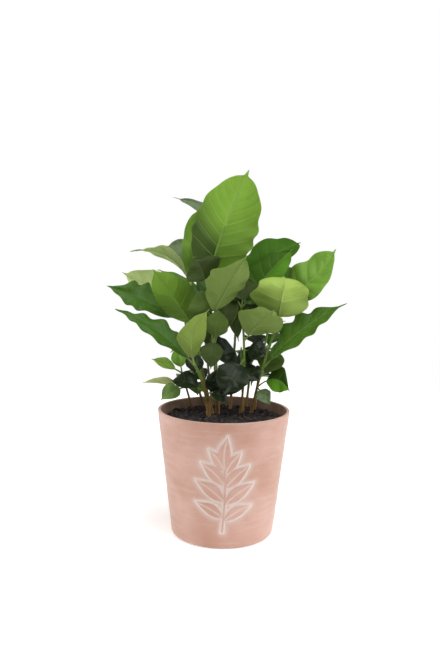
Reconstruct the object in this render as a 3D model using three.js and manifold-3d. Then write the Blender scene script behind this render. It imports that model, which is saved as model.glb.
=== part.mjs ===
// Potted coffee plant: a dozen young seedlings standing in one tapered terracotta pot.
// Millimetres. Origin at the centre of the pot's underside, +X right, +Y to the back, +Z up.

import * as THREE from 'three';
import { mergeVertices } from 'three/addons/utils/BufferGeometryUtils.js';
import Module from 'manifold-3d';

const wasm = await Module();
wasm.setup();

// Gap kept between neighbouring solids
const clearance = 0.3;

// Corners nearer to each other than this are one corner
const weld = 1e-4;

const pot = {
  height: 123.4,
  topRadius: 65,
  footRadius: 50.2, // outer wall carried down to the ground
  footRounding: 3.7,
  rimRounding: 0.8,
  lip: 3.1, // wall at the rim
  wall: 4.4, // wall at the floor
  floor: 7,
  cornerInside: 5, // slope between floor and wall on the inside
  facets: 44,
  footTurns: [0, 22.5, 45, 67.5, 90], // degrees round the foot
  colour: '#d0a08c',
  roughness: 0.85,
};

const soil = {
  level: 115,
  edgeDrop: 1.8, // the soil sinks a little beside the wall
  edgeWidth: 8,
  facets: 44,
  colour: '#302c27',
  roughness: 1,
};

const stem = {
  sides: 7,
  rings: 5,
  flare: 0.4, // extra radius at the foot
  flareHeight: 7,
  belowPair: 6, // a mass begins this far below its lowest leaves
  colour: '#8c7440',
  roughness: 0.8,
};

// Closed bud at a stem's top: length in millimetres, the rest as shares of length and radius
const bud = {
  length: 4,
  shoulderAt: 0.6,
  shoulder: 0.8,
  end: 0.35,
};

const leafRule = {
  petiole: 9,
  petioleShare: 0.25, // of a short leaf
  petioleRadius: 1,
  petioleFlatness: 0.6,
  thickness: 1 / 80, // of the leaf's length
  leastThickness: 0.9,
  rib: 0.5, // midrib under the blade
  ribAbove: 0.3, // share of it that shows on the upper side
  tipHalfWidth: 0.45,
  longLeaf: 55, // from this length a leaf has the finer row of sections
  fineStations: [0.08, 0.22, 0.4, 0.58, 0.76, 0.88, 0.945, 1],
  stations: [0.12, 0.36, 0.62, 0.84, 0.94, 1],
  colour: '#4f8a2f',
  roughness: 0.5,
};

// Blade outline along its length: a rounded body, then a narrow drip tip
const blade = {
  bodyEnd: 0.94,
  lean: 0.92, // under 1 puts the widest place nearer the stalk
  tipFrom: 0.7,
  tipWidth: 0.11,
  tipLength: 0.13,
  tipTaper: 0.8,
  rollFrom: 0.72, // a curled end starts to roll here
  rollShortens: 0.6, // and draws back by this share of its roll
};

// How a leaf stands unless its own line says otherwise
const usual = {
  arch: 0.1, // bow of the midrib towards the upper side, as a share of the length
  sway: 0, // bow of the midrib to the side
  face: [0, 0, 1], // where the upper side looks
  fold: 12, // degrees each half is lifted from flat
  full: 0.85, // under 1 is broad and blunt, 1 is slender
  curl: 0, // how far the end rolls back over the upper side, millimetres
};

// A seedling: where it stands on the soil, its top, the sideways bend half way up, and its
// radius at foot and top. Leaves sit in pairs at a share of the height. Reach runs from the
// stem to the leaf's tip.
const seedlings = {
  crown: {
    foot: [-6, 13],
    top: [-18, 2, 244],
    bend: [2, -2],
    girth: [2.1, 1.4],
    pairs: [
      { at: 0.42, leaves: [
        { reach: [3, -3, -34], width: 24, arch: 0.15, face: [0, -1, 0.4] },
      ] },
      { at: 0.55, leaves: [
        { reach: [24, 16, 44], width: 28, face: [0, -0.3, 0.9] },
        { reach: [4, -9, 37], width: 25, arch: 0.05, face: [0, -1, 0.3] },
      ] },
      { at: 0.6, leaves: [
        { reach: [-2, -18, -28], width: 22, arch: 0.28, face: [0, -0.8, 0.6] },
      ] },
      { at: 0.75, leaves: [
        { reach: [32, -48, 62], width: 40, arch: 0.04, face: [-0.35, 0.9, 0.4], fold: 14,
          full: 0.8 },
        { reach: [-3, 42, 22], width: 30 },
        { reach: [-14, -8, 28], width: 34, arch: 0.05, face: [0, -1, 0.3] },
      ] },
      { at: 1, leaves: [
        { reach: [38, -14, 110], width: 64, arch: 0.03, sway: 0.035, face: [0.15, 1, 0.1], full: 0.5 },
        { reach: [-13, -9, 28], width: 40, arch: 0.12, face: [0, -0.7, 0.6] },
      ] },
    ],
  },
  left_tall: {
    foot: [-11, 9],
    top: [-33, 14, 243],
    bend: [-4, -3],
    girth: [1.9, 1.3],
    pairs: [
      { at: 0.52, leaves: [
        { reach: [-3, -4, -24], width: 20, arch: 0.15, face: [-0.2, -1, 0.4] },
      ] },
      { at: 0.66, leaves: [
        { reach: [-40, -29, 60], width: 38, arch: 0.06, face: [-0.2, 0.9, 0.6], full: 0.75 },
        { reach: [4, 34, 14], width: 24, arch: 0.12 },
      ] },
      { at: 1, leaves: [
        { reach: [6, 10, 78], width: 34, arch: 0.04, face: [0.2, 1, 0.1], full: 0.42 },
        { reach: [-60, -16, 33], width: 22, arch: 0.24, face: [0, 0.45, 0.9], full: 1.4 },
      ] },
    ],
  },
  front_left: {
    foot: [-15, 3],
    top: [-28, -12, 167],
    bend: [3, 3],
    girth: [2.3, 1.4],
    pairs: [
      { at: 0.45, leaves: [
        { reach: [-36, 10, 10], width: 24, arch: 0.15, face: [0, -0.5, 0.9] },
        { reach: [22, -8, -8], width: 18, arch: 0.2, face: [0, -0.5, 0.9] },
      ] },
      { at: 1, leaves: [
        { reach: [13, -43, 58], width: 27, arch: 0.05, sway: 0.12, face: [-0.3, 0.9, 0.5] },
        { reach: [-78, 2, 54], width: 27, arch: 0.04, face: [0.1, -0.6, 0.8], full: 1, sway: 0.05 },
      ] },
    ],
  },
  side_left: {
    foot: [-20, 44],
    top: [-40, 22, 208],
    bend: [-3, 0],
    girth: [1.3, 1.1],
    pairs: [
      { at: 0.3, leaves: [
        { reach: [2, -22, -10], width: 22, arch: 0.2, face: [0, -0.6, 0.8] },
        { reach: [-20, 26, -4], width: 20, arch: 0.2 },
      ] },
      { at: 0.42, leaves: [
        { reach: [13, -16, -6], width: 20, arch: 0.15, face: [0, -0.8, 0.6] },
      ] },
      { at: 0.55, leaves: [
        { reach: [-26, 34, 12], width: 26, arch: 0.2 },
      ] },
      { at: 1, leaves: [
        { reach: [-78, -7, 34], width: 38, arch: 0.04, face: [0, -0.7, 0.8] },
        { reach: [-67, 23, 47], width: 40, arch: 0.12, face: [0, 0.9, 0.4], full: 0.6 },
      ] },
    ],
  },
  small_left: {
    foot: [-33, 39],
    top: [-43, 30, 153],
    bend: [0, 0],
    girth: [1.1, 0.9],
    pairs: [
      { at: 0.6, leaves: [
        { reach: [-46, 5, 3], width: 12, face: [0, -0.5, 0.9] },
        { reach: [-25, -15, -11], width: 20, arch: 0.15, face: [0, -0.7, 0.7] },
      ] },
      { at: 1, leaves: [
        { reach: [-31, -5, 15], width: 15, arch: 0.06, face: [0.3, -0.6, 0.7] },
        { reach: [-5, -6, 29], width: 17, arch: 0.03, face: [-0.2, -1, 0.3] },
      ] },
    ],
  },
  centre: {
    foot: [17, 16],
    top: [16, 8, 222],
    bend: [3, -4],
    girth: [1.2, 1],
    pairs: [
      { at: 0.42, leaves: [
        { reach: [14, -18, -8], width: 22, arch: 0.2, face: [0, -0.8, 0.6] },
      ] },
      { at: 0.53, leaves: [
        { reach: [-21, -20, -34], width: 33, arch: 0.2, face: [0, -1, 0.5], full: 0.65 },
      ] },
      { at: 0.7, leaves: [
        { reach: [26, -43, 34], width: 44, arch: 0.05, face: [0.1, 0.8, 0.7] },
      ] },
      { at: 0.85, leaves: [
        { reach: [13, 8, 21], width: 22, arch: 0.05, face: [-0.2, -0.8, 0.4] },
      ] },
      { at: 1, leaves: [
        { reach: [-14, 28, 26], width: 24, arch: 0.05, face: [0.2, -0.8, 0.4] },
        { reach: [5, 10, 32], width: 32, arch: 0.05, face: [-0.3, -0.7, 0.5] },
        { reach: [52, 32, 60], width: 38, arch: 0.05, face: [-0.3, -0.7, 0.5], full: 0.7 },
      ] },
    ],
  },
  inner: {
    foot: [20, 24],
    top: [17, 26, 178],
    bend: [0, 2],
    girth: [1.1, 0.9],
    pairs: [
      { at: 0.55, leaves: [
        { reach: [16, 3, 10], width: 18, arch: 0.2, face: [0, -0.6, 0.8] },
        { reach: [-22, 0, 2], width: 18, arch: 0.2 },
      ] },
      { at: 0.8, leaves: [
        { reach: [4, -10, -21], width: 22, arch: 0.15, face: [0, -1, 0.4] },
      ] },
      { at: 1, leaves: [
        { reach: [27, -6, -4], width: 30, arch: 0.12, face: [0, -0.6, 0.8] },
        { reach: [-26, -10, -7], width: 36, arch: 0.12, face: [0, -0.8, 0.6] },
      ] },
    ],
  },
  front_right: {
    foot: [28, 18],
    top: [51, 0, 207],
    bend: [-2, 0],
    girth: [1.3, 1.1],
    pairs: [
      { at: 0.3, leaves: [
        { reach: [32, -10, -2], width: 30, arch: 0.1, face: [0, -0.8, 0.6], sway: -0.3 },
        { reach: [12, -20, -14], width: 15, arch: 0.16, face: [-0.2, -0.8, 0.6] },
      ] },
      { at: 0.39, leaves: [
        { reach: [22, 15, 26], width: 32, face: [-0.3, -0.7, 0.6] },
      ] },
      { at: 0.51, leaves: [
        { reach: [81, -6, 67], width: 32, arch: 0.09, face: [-0.3, -0.6, 0.75], full: 1 },
        { reach: [-11, -1, -18], width: 9, face: [-1, -0.2, 0.2] },
      ] },
      { at: 0.82, leaves: [
        { reach: [13, 9, 13], width: 9, arch: 0.05, face: [-0.8, -0.3, 0.3] },
      ] },
      { at: 1, leaves: [
        { reach: [8, -8, 53], width: 58, arch: -0.1, face: [-0.1, 0.9, 0.3], full: 0.45, curl: 14,
          fold: 7, sway: 0.04 },
      ] },
    ],
  },
  side_right: {
    foot: [32, 30],
    top: [52, 34, 228],
    bend: [-3, 0],
    girth: [1.2, 1],
    pairs: [
      { at: 0.3, leaves: [
        { reach: [30, 18, -2], width: 22, arch: 0.2 },
      ] },
      { at: 0.55, leaves: [
        { reach: [32, 38, 8], width: 28, arch: 0.15 },
        { reach: [-17, 20, 12], width: 28, arch: 0.15 },
      ] },
      { at: 1, leaves: [
        { reach: [58, -8, 54], width: 48, arch: 0.06, face: [-0.4, -0.7, 0.6], full: 0.65, sway: 0.17 },
        { reach: [16, 40, 36], width: 34 },
      ] },
    ],
  },
  back_centre: {
    foot: [7, 36],
    top: [14, 36, 250],
    bend: [0, 4],
    girth: [1.3, 1.1],
    pairs: [
      { at: 0.6, leaves: [
        { reach: [24, -4, 22], width: 24, arch: 0.15 },
        { reach: [-24, 14, 20], width: 24, arch: 0.15 },
      ] },
      { at: 1, leaves: [
        { reach: [65, 30, 39], width: 40, arch: 0.08, face: [0, -0.6, 0.7], full: 0.5 },
        { reach: [-69, 16, 83], width: 20, arch: 0.06, sway: 0.19, face: [0.3, -0.8, 0.4], full: 0.42 },
        { reach: [-78, 19, 33], width: 38, face: [0.2, -0.8, 0.5], full: 0.45 },
        { reach: [0, -14, -62], width: 20, face: [0, -1, 0.2], sway: 0.06 },
      ] },
    ],
  },
  back_left: {
    foot: [-12, 52],
    top: [-24, 62, 212],
    bend: [0, 3],
    girth: [1.3, 1],
    pairs: [
      { at: 0.3, leaves: [
        { reach: [-24, 30, -10], width: 22, arch: 0.2 },
        { reach: [26, 24, -10], width: 22, arch: 0.2 },
      ] },
      { at: 0.5, leaves: [
        { reach: [-42, 34, 2], width: 28, arch: 0.18 },
        { reach: [16, 46, -6], width: 30, arch: 0.18 },
      ] },
      { at: 0.62, leaves: [
        { reach: [10, -12, 22], width: 30, arch: 0.08, face: [0, -1, 0.3] },
      ] },
      { at: 0.75, leaves: [
        { reach: [-36, 6, 22], width: 26, arch: 0.12 },
        { reach: [34, 14, 18], width: 26, arch: 0.12 },
      ] },
      { at: 1, leaves: [
        { reach: [-50, 26, 46], width: 36 },
        { reach: [28, 38, 56], width: 36 },
      ] },
    ],
  },
  back_right: {
    foot: [24, 48],
    top: [34, 64, 206],
    bend: [0, 3],
    girth: [1.3, 1],
    pairs: [
      { at: 0.3, leaves: [
        { reach: [36, 14, -8], width: 22, arch: 0.2 },
        { reach: [-8, -14, 16], width: 24, face: [0, -1, 0.4] },
      ] },
      { at: 0.42, leaves: [
        { reach: [-12, -8, 22], width: 28, arch: 0.08, face: [0, -1, 0.3] },
      ] },
      { at: 0.5, leaves: [
        { reach: [30, 36, 8], width: 28, arch: 0.18 },
        { reach: [-6, 46, -4], width: 28, arch: 0.18 },
        { reach: [8, -6, 20], width: 26, face: [0, -1, 0.3] },
      ] },
      { at: 0.75, leaves: [
        { reach: [34, 6, 22], width: 26, arch: 0.12 },
      ] },
      { at: 1, leaves: [
        { reach: [52, 18, 44], width: 36 },
        { reach: [-30, 42, 44], width: 34 },
      ] },
    ],
  },
};

const vector = (xyz) => new THREE.Vector3(...xyz);

// Closed solid through a row of rings that all have the same number of corners
function loft(rings) {
  const corners = rings[0].length;
  const positions = [];
  for (const ring of rings) {
    for (const p of ring) {
      positions.push(p.x, p.y, p.z);
    }
  }
  const index = [];
  for (let i = 0; i + 1 < rings.length; i += 1) {
    for (let j = 0; j < corners; j += 1) {
      const a = i * corners + j;
      const b = i * corners + (j + 1) % corners;
      index.push(a, b, a + corners, b, b + corners, a + corners);
    }
  }
  const last = (rings.length - 1) * corners;
  for (let j = 1; j + 1 < corners; j += 1) {
    index.push(0, j + 1, j);
    index.push(last, last + j, last + j + 1);
  }
  const geometry = new THREE.BufferGeometry();
  geometry.setAttribute('position', new THREE.Float32BufferAttribute(positions, 3));
  geometry.setIndex(index);
  return geometry;
}

function toManifold(geometry) {
  const merged = mergeVertices(geometry, weld);
  return new wasm.Manifold(new wasm.Mesh({
    numProp: 3,
    vertProperties: new Float32Array(merged.attributes.position.array),
    triVerts: new Uint32Array(merged.index.array),
  }));
}

function fromManifold(manifold) {
  const data = manifold.getMesh();
  const geometry = new THREE.BufferGeometry();
  geometry.setAttribute('position', new THREE.Float32BufferAttribute(data.vertProperties, 3));
  geometry.setIndex(Array.from(data.triVerts));
  return geometry;
}

// Straight line from foot to top plus a bend that is strongest half way up
function stemPoint(seedling, share) {
  const foot = vector([...seedling.foot, soil.level + clearance]);
  const bend = vector([...seedling.bend, 0]);
  return foot.lerp(vector(seedling.top), share).addScaledVector(bend, 4 * share * (1 - share));
}

function stemRadius(seedling, share) {
  const [foot, top] = seedling.girth;
  const height = (seedling.top[2] - soil.level) * share;
  return foot + (top - foot) * share + stem.flare * Math.exp(-height / stem.flareHeight);
}

// Level ring of a stem
function stemRing(centre, radius) {
  return Array.from({ length: stem.sides }, (_, i) => {
    const turn = (i / stem.sides) * 2 * Math.PI;
    return new THREE.Vector3(Math.cos(turn), Math.sin(turn), 0).multiplyScalar(radius).add(centre);
  });
}

function stemTube(seedling, from, to) {
  const rings = [];
  for (let i = 0; i <= stem.rings; i += 1) {
    const share = from + ((to - from) * i) / stem.rings;
    rings.push(stemRing(stemPoint(seedling, share), stemRadius(seedling, share)));
  }
  return rings;
}

// Half-width of a blade at r of its length, as a share of the widest
function outline(r, full) {
  const body = Math.sin(Math.PI * Math.min(r / blade.bodyEnd, 1) ** blade.lean) ** full;
  if (r <= blade.tipFrom) {
    return body;
  }
  return Math.max(body, blade.tipWidth * Math.min((1 - r) / blade.tipLength, 1) ** blade.tipTaper);
}

// Leaf from the stem's axis to its tip: stalk, then a folded blade of even thickness
function leafSolid(own, node) {
  const leaf = { ...usual, ...own };
  const reach = vector(leaf.reach);
  const length = reach.length();
  const along = reach.clone().normalize();
  const up = vector(leaf.face);
  up.addScaledVector(along, -up.dot(along)).normalize();
  const side = new THREE.Vector3().crossVectors(along, up);
  const thickness = Math.max(length * leafRule.thickness, leafRule.leastThickness);
  const stalk = Math.min(leafRule.petiole / length, leafRule.petioleShare);
  const fold = THREE.MathUtils.degToRad(leaf.fold);

  const section = (share, halfWidth, edge, rib) => {
    const bow = 4 * share * (1 - share) * length;
    const middle = node.clone().addScaledVector(reach, share);
    const roll = leaf.curl * Math.max((share - blade.rollFrom) / (1 - blade.rollFrom), 0) ** 2;
    middle.addScaledVector(up, leaf.arch * bow + roll).addScaledVector(side, leaf.sway * bow);
    middle.addScaledVector(along, -blade.rollShortens * roll);
    const tangent = along.clone().addScaledVector(up, leaf.arch * 4 * (1 - 2 * share)).normalize();
    const normal = new THREE.Vector3().crossVectors(side, tangent);
    const corner = (across, lift) => middle.clone()
      .addScaledVector(side, across * Math.cos(fold))
      .addScaledVector(normal, Math.abs(across) * Math.sin(fold) + lift);
    return [
      corner(0, edge + (rib - edge) * leafRule.ribAbove),
      corner(halfWidth, edge),
      corner(halfWidth, -edge),
      corner(0, -rib),
      corner(-halfWidth, -edge),
      corner(-halfWidth, edge),
    ];
  };

  const radius = leafRule.petioleRadius;
  const flat = radius * leafRule.petioleFlatness;
  const rings = [0, stalk].map((share) => section(share, radius, flat, radius));
  const stations = length < leafRule.longLeaf ? leafRule.stations : leafRule.fineStations;
  for (const r of stations) {
    const halfWidth = Math.max((leaf.width / 2) * outline(r, leaf.full), leafRule.tipHalfWidth);
    const edge = thickness / 2;
    rings.push(section(stalk + (1 - stalk) * r, halfWidth, edge, edge + leafRule.rib * (1 - r)));
  }
  return toManifold(loft(rings));
}

// Mass of one seedling: its shoot with a closed bud, and every leaf joined to it
function foliage(seedling, from) {
  const rings = stemTube(seedling, from, 1);
  const tip = stemPoint(seedling, 1);
  const radius = seedling.girth[1];
  const rise = tip.clone().sub(stemPoint(seedling, 1 - 1 / stem.rings)).setLength(bud.length);
  rings.push(stemRing(tip.clone().addScaledVector(rise, bud.shoulderAt), radius * bud.shoulder));
  rings.push(stemRing(tip.clone().add(rise), radius * bud.end));
  const solids = [toManifold(loft(rings))];
  for (const pair of seedling.pairs) {
    const node = stemPoint(seedling, pair.at);
    for (const leaf of pair.leaves) {
      solids.push(leafSolid(leaf, node));
    }
  }
  return fromManifold(wasm.Manifold.union(solids));
}

function innerRadius(z) {
  const share = (z - pot.floor) / (pot.height - pot.floor);
  const slope = (pot.topRadius - pot.footRadius) / pot.height;
  const wall = pot.wall + (pot.lip - pot.wall) * share;
  return pot.footRadius + slope * z - wall;
}

function turned(profile, facets) {
  const lathe = new THREE.LatheGeometry(profile.map(([r, z]) => new THREE.Vector2(r, z)), facets);
  lathe.rotateX(Math.PI / 2);
  return lathe;
}

function potGeometry() {
  const slope = (pot.topRadius - pot.footRadius) / pot.height;
  const profile = [[0, 0]];
  for (const turn of pot.footTurns) {
    const angle = THREE.MathUtils.degToRad(turn);
    const z = pot.footRounding * (1 - Math.cos(angle));
    const inset = pot.footRounding * (1 - Math.sin(angle));
    profile.push([pot.footRadius + slope * z - inset, z]);
  }
  const round = pot.rimRounding;
  profile.push([pot.topRadius - slope * round, pot.height - round]);
  profile.push([pot.topRadius - round, pot.height]);
  profile.push([innerRadius(pot.height) + round, pot.height]);
  profile.push([innerRadius(pot.height - round), pot.height - round]);
  const corner = pot.floor + pot.cornerInside;
  profile.push([innerRadius(corner), corner]);
  profile.push([innerRadius(pot.floor) - pot.cornerInside, pot.floor]);
  profile.push([0, pot.floor]);
  return turned(profile, pot.facets);
}

function soilGeometry() {
  const bottom = pot.floor + clearance;
  const corner = pot.floor + pot.cornerInside;
  const shoulder = soil.level - soil.edgeDrop;
  const room = (z) => innerRadius(z) - 2 * clearance;
  return turned([
    [0, bottom],
    [room(pot.floor) - pot.cornerInside, bottom],
    [room(corner), corner + clearance],
    [room(shoulder), shoulder],
    [room(soil.level) - soil.edgeWidth, soil.level],
    [0, soil.level],
  ], soil.facets);
}

const group = new THREE.Group();

function place(name, geometry, { colour, roughness }) {
  const material = new THREE.MeshStandardMaterial({ color: colour, roughness });
  material.name = `${name}_material`;
  const mesh = new THREE.Mesh(geometry, material);
  mesh.name = name;
  group.add(mesh);
}

place('pot', potGeometry(), pot);
place('soil', soilGeometry(), soil);
for (const [name, seedling] of Object.entries(seedlings)) {
  const height = seedling.top[2] - soil.level;
  const from = seedling.pairs[0].at - stem.belowPair / height;
  const rings = stemTube(seedling, 0, from - clearance / height);
  place(`stem_${name}`, loft(rings), stem);
  place(`foliage_${name}`, foliage(seedling, from), leafRule);
}

export default group;
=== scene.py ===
import math

import bpy
import numpy as np
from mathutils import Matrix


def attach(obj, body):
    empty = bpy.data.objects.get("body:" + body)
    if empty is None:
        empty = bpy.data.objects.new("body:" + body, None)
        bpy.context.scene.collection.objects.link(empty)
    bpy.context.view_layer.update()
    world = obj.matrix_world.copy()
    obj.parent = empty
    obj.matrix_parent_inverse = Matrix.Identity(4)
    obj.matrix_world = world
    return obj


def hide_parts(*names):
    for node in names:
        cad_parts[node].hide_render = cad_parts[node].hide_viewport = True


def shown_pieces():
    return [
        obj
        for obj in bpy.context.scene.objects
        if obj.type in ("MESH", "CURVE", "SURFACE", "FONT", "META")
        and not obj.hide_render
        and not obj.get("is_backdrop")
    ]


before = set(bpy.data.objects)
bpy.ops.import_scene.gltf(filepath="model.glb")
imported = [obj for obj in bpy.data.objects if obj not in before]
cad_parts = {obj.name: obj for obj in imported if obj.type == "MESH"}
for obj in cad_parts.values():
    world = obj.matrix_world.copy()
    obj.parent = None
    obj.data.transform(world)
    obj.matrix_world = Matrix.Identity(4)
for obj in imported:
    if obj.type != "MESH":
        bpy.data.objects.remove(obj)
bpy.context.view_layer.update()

mm = 0.001  # every length below is in millimetres until it goes into a mesh, a light or a pattern
fullTurn = 2 * np.pi
rng = np.random.default_rng(41)


# colours, nodes and meshes

def linear(hexColour):
    # sRGB hex to linear light
    srgb = np.array([int(hexColour[i:i + 2], 16) for i in (1, 3, 5)]) / 255
    value = np.where(srgb <= 0.04045, srgb / 12.92, ((srgb + 0.055) / 1.055) ** 2.4)
    return (*value.tolist(), 1.0)


def setInputs(node, inputs):
    # an input is a plain value, or a socket that gets linked to it
    for socket, value in inputs.items():
        if isinstance(value, bpy.types.NodeSocket):
            node.id_data.links.new(value, node.inputs[socket])
        else:
            node.inputs[socket].default_value = value


def addNode(tree, kind, inputs, **settings):
    node = tree.nodes.new("ShaderNode" + kind)
    for name, value in settings.items():
        setattr(node, name, value)
    setInputs(node, inputs)
    return node


def startMaterial(name):
    # a material with nothing but its shader, and the place on the object that patterns are measured from
    material = bpy.data.materials.new(name)
    material.use_nodes = True
    tree = material.node_tree
    tree.nodes.clear()
    shader = addNode(tree, "BsdfPrincipled", {})
    addNode(tree, "OutputMaterial", {"Surface": shader.outputs["BSDF"]})
    place = addNode(tree, "TexCoord", {}).outputs["Object"]
    return material, tree, shader, place


def unit(vectors):
    return vectors / np.linalg.norm(vectors, axis=-1, keepdims=True)


def around(count):
    # equal angles once round
    return np.linspace(0, fullTurn, count, endpoint=False)


def smoothStep(low, high, x):
    # 0 up to low, 1 from high, and an S-curve between them
    t = np.clip((x - low) / (high - low), 0, 1)
    return t * t * (3 - 2 * t)


ripple = {
    "waves": 26,
    "lengths": (0.75, 1.4),  # shortest and longest, of the size asked for
    "peak": 1.6,
}


def ripples(x, y, size):
    # smooth noise of about -1 to 1: the sum of plane waves of near the same length in random directions
    count = ripple["waves"]
    turn = rng.uniform(0, fullTurn, count)
    pitch = fullTurn / (size * rng.uniform(*ripple["lengths"], count))
    phase = rng.uniform(0, fullTurn, count)
    waves = np.sin(x[..., None] * pitch * np.cos(turn) + y[..., None] * pitch * np.sin(turn) + phase)
    return waves.sum(-1) * math.sqrt(2 / count) / ripple["peak"]


def shell(rings, quadSlot=0, fanSlot=0):
    # closed skin over a row of equal rings: quads between neighbours and a fan over each end,
    # turned round as a whole where its signed volume comes out negative
    n, m = rings.shape[:2]
    i, j = np.meshgrid(np.arange(n - 1), np.arange(m), indexing="ij")
    k = (j + 1) % m
    quads = np.stack([i * m + j, i * m + k, (i + 1) * m + k, (i + 1) * m + j], -1).reshape(-1, 4)
    points = np.concatenate([rings.reshape(-1, 3), rings[[0, -1]].mean(1)])
    j = np.arange(m)
    k = (j + 1) % m
    last = (n - 1) * m
    fans = np.concatenate([
        np.stack([k, j, np.full(m, n * m)], -1),
        np.stack([last + j, last + k, np.full(m, n * m + 1)], -1),
    ])
    triangles = np.concatenate([quads[:, [0, 1, 2]], quads[:, [0, 2, 3]], fans])
    a, b, c = (points[corner] - points[0] for corner in triangles.T)
    if np.einsum("ij,ij->i", a, np.cross(b, c)).sum() < 0:
        quads, fans = quads[:, ::-1], fans[:, ::-1]
    quadSlots = np.broadcast_to(quadSlot, (n - 1, m)).reshape(-1)
    fanSlots = np.full(len(fans), fanSlot)
    return points, quads, fans, quadSlots, fanSlots


def makePiece(name, shells, materials, nodes, attributes=None):
    # one mesh from any number of shells, put in as whole arrays
    starts = np.cumsum([0] + [len(s[0]) for s in shells])
    points = np.concatenate([s[0] for s in shells]) * mm
    quads = np.concatenate([s[1] + o for s, o in zip(shells, starts)])
    fans = np.concatenate([s[2] + o for s, o in zip(shells, starts)])
    slots = np.concatenate([s[3] for s in shells] + [s[4] for s in shells])
    loops = np.concatenate([quads.ravel(), fans.ravel()])
    first = np.concatenate([np.arange(len(quads)) * 4, quads.size + np.arange(len(fans)) * 3])
    mesh = bpy.data.meshes.new(name)
    mesh.vertices.add(len(points))
    mesh.loops.add(len(loops))
    mesh.polygons.add(len(first))
    mesh.vertices.foreach_set("co", points.ravel())
    mesh.loops.foreach_set("vertex_index", loops.astype(np.int32))
    mesh.polygons.foreach_set("loop_start", first.astype(np.int32))
    for material in materials:
        mesh.materials.append(material)
    mesh.polygons.foreach_set("material_index", slots.astype(np.int32))
    mesh.polygons.foreach_set("use_smooth", np.ones(len(first), bool))
    mesh.update(calc_edges=True)
    mesh.validate()
    for key, values in (attributes or {}).items():
        mesh.attributes.new(key, "FLOAT", "POINT").data.foreach_set("value", values.astype(np.float32))
    piece = bpy.data.objects.new(name, mesh)
    bpy.context.scene.collection.objects.link(piece)
    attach(piece, "root")
    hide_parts(*nodes)


# camera, light and floor

studio = {
    "cameraAt": (-4.93, -676, 268.9),
    "pitchDown": 5.79,
    "roll": 0.917,
    "lens": 37.8,
    "boxAt": (1150, 50, 550),  # a tall soft box at the right, and its twin at the left
    "boxSize": (1200, 1500),
    "boxTurn": 82,
    "boxPower": 11,
    "sky": 2.6,  # wide soft light from overhead, a little from the front right
    "skyWidth": 75,
    "skyTilt": (20, 12),
    "fill": 0.14,  # white room round the plant
    "paper": "#fefcfb",
    "paperGlow": 0.25,  # lit from below, so that it runs into the white behind
    "paperRough": (0.7, 0.8),
    "paperMottle": 60,
    "floorRadius": 900,
    "floorSides": 96,
}


def makeCamera():
    camera = bpy.data.objects.new("camera", bpy.data.cameras.new("camera"))
    camera.data.lens = studio["lens"]
    camera.location = np.array(studio["cameraAt"]) * mm
    camera.rotation_euler = (math.radians(90 - studio["pitchDown"]), 0, 0)
    camera.rotation_euler.rotate_axis("Z", math.radians(studio["roll"]))
    scene = bpy.context.scene
    scene.collection.objects.link(camera)
    scene.camera = camera
    scene.view_settings.view_transform = "Standard"


def makeLights():
    # a tall soft box at each side, and a white ceiling that lights the floor evenly out to the horizon
    scene = bpy.context.scene
    x, y, z = np.array(studio["boxAt"]) * mm
    for name, way in (("leftBox", -1), ("rightBox", 1)):
        light = bpy.data.lights.new(name, "AREA")
        light.shape = "RECTANGLE"
        light.size, light.size_y = np.array(studio["boxSize"]) * mm
        light.energy = studio["boxPower"]
        lamp = bpy.data.objects.new(name, light)
        lamp.location = (way * x, y, z)
        lamp.rotation_euler = (0, math.radians(way * studio["boxTurn"]), 0)
        lamp.visible_camera = False
        scene.collection.objects.link(lamp)
    light = bpy.data.lights.new("ceiling", "SUN")
    light.energy = studio["sky"]
    light.angle = math.radians(studio["skyWidth"])
    lamp = bpy.data.objects.new("ceiling", light)
    lamp.rotation_euler = (*np.radians(studio["skyTilt"]), 0)
    scene.collection.objects.link(lamp)

    # the room is white to the eye and gives only a faint fill
    world = bpy.data.worlds.new("whiteRoom")
    world.use_nodes = True
    tree = world.node_tree
    tree.nodes.clear()
    white = linear("#ffffff")
    fill = addNode(tree, "Background", {"Color": white, "Strength": studio["fill"]})
    seen = addNode(tree, "Background", {"Color": white})
    ray = addNode(tree, "LightPath", {})
    both = addNode(tree, "MixShader", {
        0: ray.outputs["Is Camera Ray"], 1: fill.outputs[0], 2: seen.outputs[0]})
    addNode(tree, "OutputWorld", {"Surface": both.outputs[0]})
    scene.world = world


def makeFloor():
    # round flat sheet of matt white paper, its roughness faintly mottled
    paper, tree, shader, place = startMaterial("matt white studio paper")
    mottle = addNode(tree, "TexNoise", {"Vector": place, "Scale": 1 / (studio["paperMottle"] * mm)})
    low, high = studio["paperRough"]
    rough = addNode(tree, "MapRange", {"Value": mottle.outputs["Fac"], "To Min": low, "To Max": high})
    white = linear(studio["paper"])
    setInputs(shader, {
        "Base Color": white, "Roughness": rough.outputs[0], "Emission Color": white,
        "Emission Strength": studio["paperGlow"]})
    mesh = bpy.data.meshes.new("floor")
    turn = around(studio["floorSides"])
    edge = studio["floorRadius"] * mm * np.stack([np.cos(turn), np.sin(turn), 0 * turn], -1)
    mesh.from_pydata(edge.tolist(), [], [range(len(edge))])
    mesh.materials.append(paper)
    floor = bpy.data.objects.new("floor", mesh)
    bpy.context.scene.collection.objects.link(floor)
    floor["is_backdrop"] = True


makeCamera()
makeLights()
makeFloor()
print("studio made")


# pot

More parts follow.
